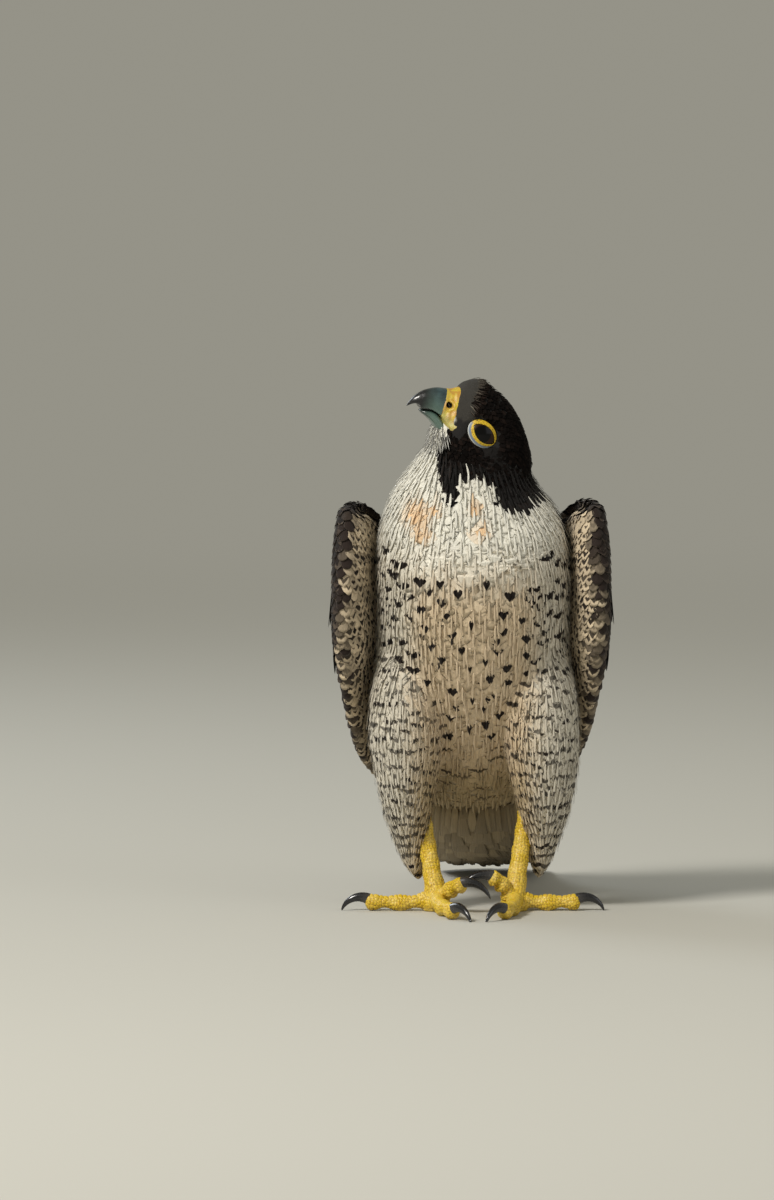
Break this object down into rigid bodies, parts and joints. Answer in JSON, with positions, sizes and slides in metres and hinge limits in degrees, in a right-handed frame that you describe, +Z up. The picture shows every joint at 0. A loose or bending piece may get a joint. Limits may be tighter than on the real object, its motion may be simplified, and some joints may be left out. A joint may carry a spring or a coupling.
{
  "type": "peregrine falcon",
  "caption": "Life-size peregrine falcon standing upright, wings folded but held a little out, head turned to its right and raised, tail resting on the floor behind.",
  "frame": {"origin": "on the floor, under the middle of the bird's bounding box, close behind its feet", "axes": "+Z up; the bird faces -Y, its left side is at +X and its tail lies towards +Y"},
  "size_m": [0.1446, 0.2891, 0.2768],
  "materials": {
    "body_feathers": "matte",
    "hood_feathers": "matte",
    "flight_feathers": "satin",
    "eye_rings": "satin",
    "cere": "satin",
    "horn": "gloss",
    "leg_skin": "satin",
    "claws": "gloss",
    "eyes": "gloss"
  },
  "bodies": {
    "root": {"torso": "body_feathers", "neck": "body_feathers", "head": "hood_feathers", "eyelid_left": "eye_rings", "eyelid_right": "eye_rings", "eye_left": "eyes", "eye_right": "eyes", "cere": "cere", "bill_upper": "horn", "bill_lower": "horn", "thigh_left": "body_feathers", "thigh_right": "body_feathers", "leg_left": "leg_skin", "leg_right": "leg_skin", "wing_left": "flight_feathers", "wing_right": "flight_feathers", "tail": "flight_feathers", "claw_left_outer": "claws", "claw_left_middle": "claws", "claw_left_inner": "claws", "claw_left_hind": "claws", "claw_right_outer": "claws", "claw_right_middle": "claws", "claw_right_inner": "claws", "claw_right_hind": "claws"}
  },
  "joints": []
}
